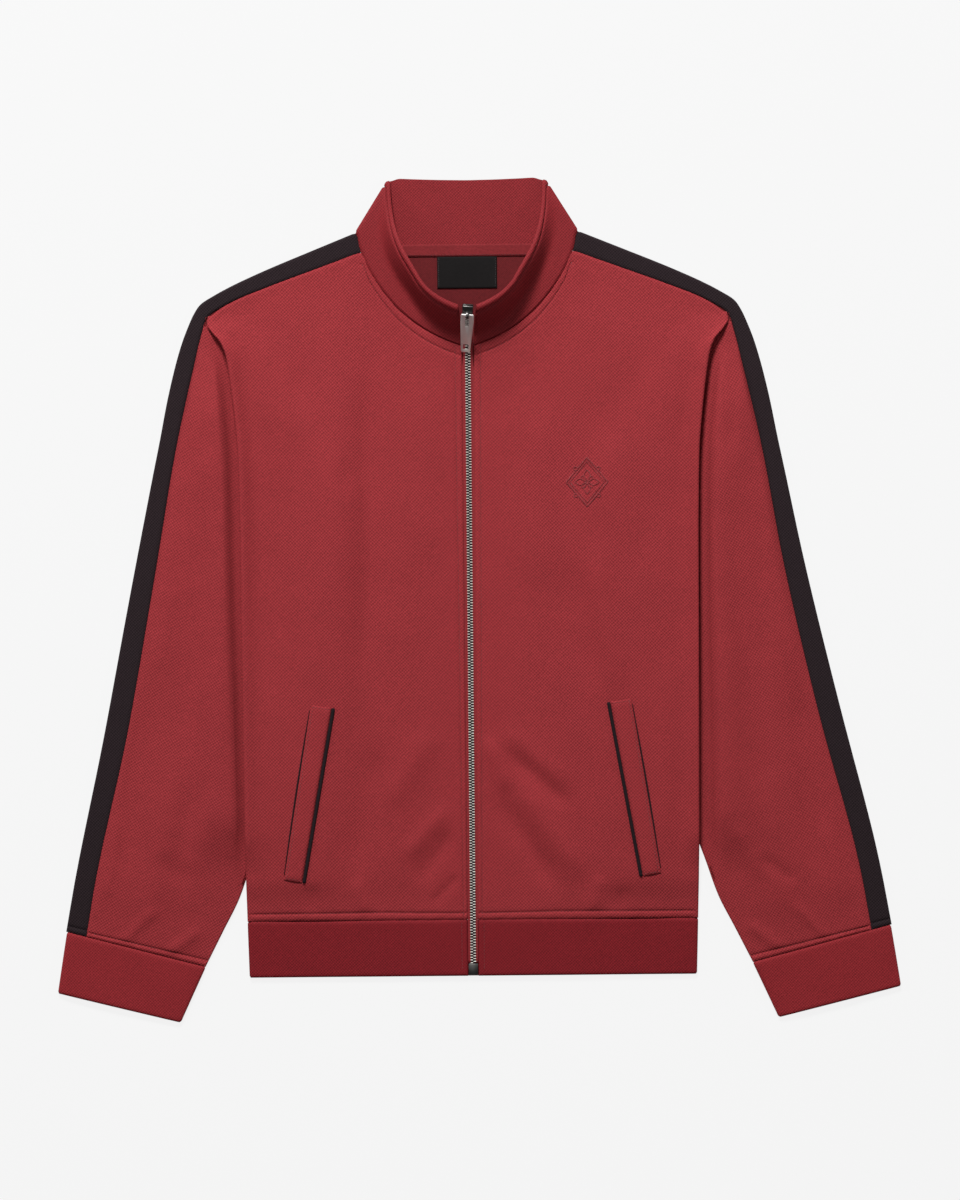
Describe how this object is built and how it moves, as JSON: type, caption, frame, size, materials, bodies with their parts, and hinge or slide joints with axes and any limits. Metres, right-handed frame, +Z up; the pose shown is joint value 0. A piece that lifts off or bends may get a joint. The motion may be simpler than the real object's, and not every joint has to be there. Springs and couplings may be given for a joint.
{
  "type": "zip-up sweatshirt",
  "caption": "Zip-up sweatshirt laid flat, front up, with a stand collar, shoulder and sleeve stripes, welt pockets and doubled hem band and cuffs.",
  "frame": {"origin": "on the underside of the back panel, on the zip's line, 344.5 mm above the hem's edge", "axes": "+Z up from the surface it lies on, +Y towards the collar, +X towards the wearer's left"},
  "size_m": [0.7764, 0.7751, 0.0402],
  "materials": {
    "knit": "matte dark red knit",
    "stripe": "matte near-black knit",
    "tape": "woven zip tape",
    "label": "bare woven label",
    "chain": "antique silver",
    "slider": "dark gunmetal",
    "tab": "brushed silver"
  },
  "bodies": {
    "jacket": {"back_panel": "knit", "front_left": "knit", "front_right": "knit", "sleeve_front_left": "knit", "sleeve_front_right": "knit", "sleeve_back_left": "knit", "sleeve_back_right": "knit", "cuff_left": "knit", "cuff_right": "knit", "hem_band_left": "knit", "hem_band_right": "knit", "hem_band_back": "knit", "collar": "knit", "neck_tape": "knit", "pocket_welt_left": "knit", "pocket_welt_right": "knit", "stripe_left": "stripe", "stripe_right": "stripe", "pocket_piping_left": "stripe", "pocket_piping_right": "stripe", "zip_tape_left": "tape", "zip_tape_right": "tape", "neck_label": "label", "zip_chain": "chain", "zip_slider": "slider", "zip_bottom_box": "slider"},
    "pull_tab": {"zip_pull_tab": "tab"}
  },
  "joints": [
    {"name": "tab_hinge", "type": "hinge", "parent": "jacket", "child": "pull_tab", "pos_m": [0, 0.2614, 0.0369], "axis": [-0.9978, 0.0663, 0], "range_deg": [0, 160]}
  ]
}
